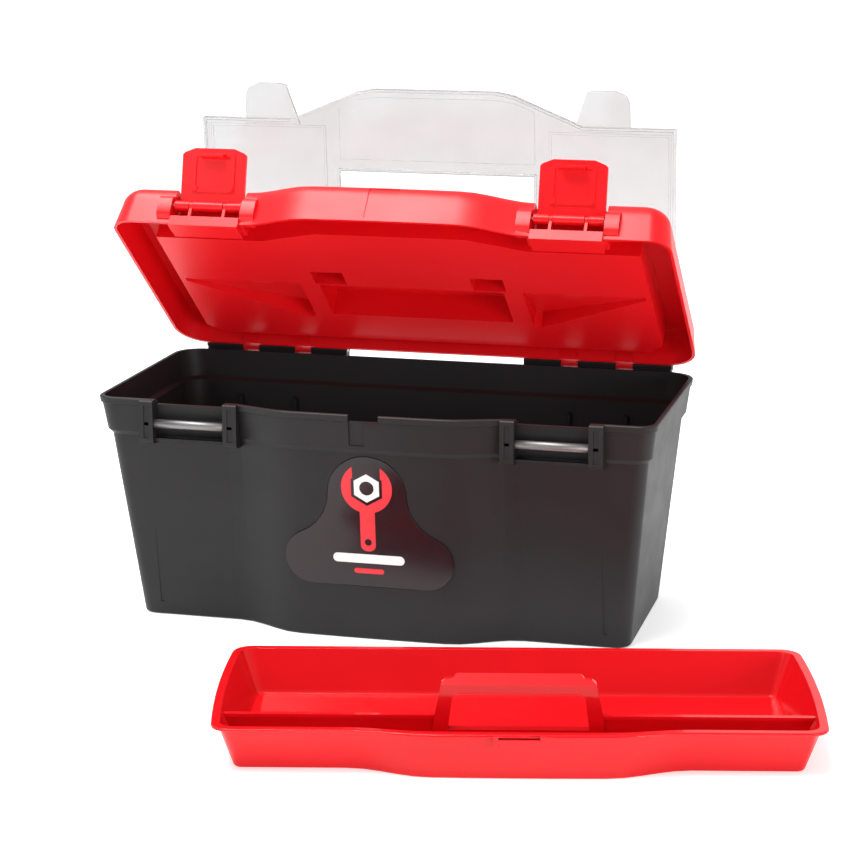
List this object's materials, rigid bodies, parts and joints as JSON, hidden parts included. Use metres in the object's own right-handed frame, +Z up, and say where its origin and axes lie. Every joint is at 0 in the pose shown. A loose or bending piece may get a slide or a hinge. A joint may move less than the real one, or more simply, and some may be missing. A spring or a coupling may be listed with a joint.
{
  "type": "toolbox with tray",
  "caption": "Hinged toolbox with a lid of open wells under a clear flip-up cover, a fold-down carry handle, two swing latches and a lift-out tray.",
  "frame": {"origin": "on the floor under the middle of the box's rim, at the centre of the box's foot plane", "axes": "+Z up, +Y to the hinge side at the back, +X to the right seen from the front"},
  "size_m": [0.649, 0.5769, 0.4469],
  "materials": {
    "black_plastic": "moulded, satin",
    "red_plastic": "moulded, semi-gloss",
    "clear_plastic": "clear, slightly frosted",
    "handle_plastic": "moulded, satin",
    "bar_steel": "drawn",
    "pin_steel": "drawn",
    "badge_plastic": "glossy label"
  },
  "bodies": {
    "box": {"box_shell": "black_plastic", "strike_bar_left": "bar_steel", "strike_bar_right": "bar_steel", "front_badge": "badge_plastic", "hinge_pin_left": "pin_steel", "hinge_pin_right": "pin_steel"},
    "lid": {"lid_shell": "red_plastic", "latch_pin_left": "pin_steel", "latch_pin_right": "pin_steel", "cover_pin_left": "pin_steel", "cover_pin_right": "pin_steel"},
    "left_latch": {"latch_left": "red_plastic"},
    "right_latch": {"latch_right": "red_plastic"},
    "cover": {"clear_cover": "clear_plastic"},
    "handle": {"carry_handle": "handle_plastic", "handle_pin_left": "bar_steel", "handle_pin_right": "bar_steel"},
    "tray": {"tray_shell": "red_plastic", "tray_divider": "red_plastic"}
  },
  "joints": [
    {"name": "lid_hinge", "type": "hinge", "parent": "box", "child": "lid", "pos_m": [0, 0.12, 0.2034], "axis": [-1, 0, 0], "range_deg": [-38, 62]},
    {"name": "cover_hinge", "type": "hinge", "parent": "lid", "child": "cover", "pos_m": [0, 0.13175, 0.24118], "axis": [-1, 0, 0], "range_deg": [-47, 53]},
    {"name": "left_latch_hinge", "type": "hinge", "parent": "lid", "child": "left_latch", "pos_m": [-0.156, -0.0524, 0.35713], "axis": [-1, 0, 0], "range_deg": [-155, 10]},
    {"name": "right_latch_hinge", "type": "hinge", "parent": "lid", "child": "right_latch", "pos_m": [0.156, -0.0524, 0.35713], "axis": [-1, 0, 0], "range_deg": [-155, 10]},
    {"name": "handle_hinge", "type": "hinge", "parent": "lid", "child": "handle", "pos_m": [0, 0.04472, 0.31171], "axis": [1, 0, 0], "range_deg": [0, 95]},
    {"name": "tray_lift", "type": "slide", "parent": "box", "child": "tray", "axis": [0, 0, 1], "range_m": [0, 0.25]}
  ]
}
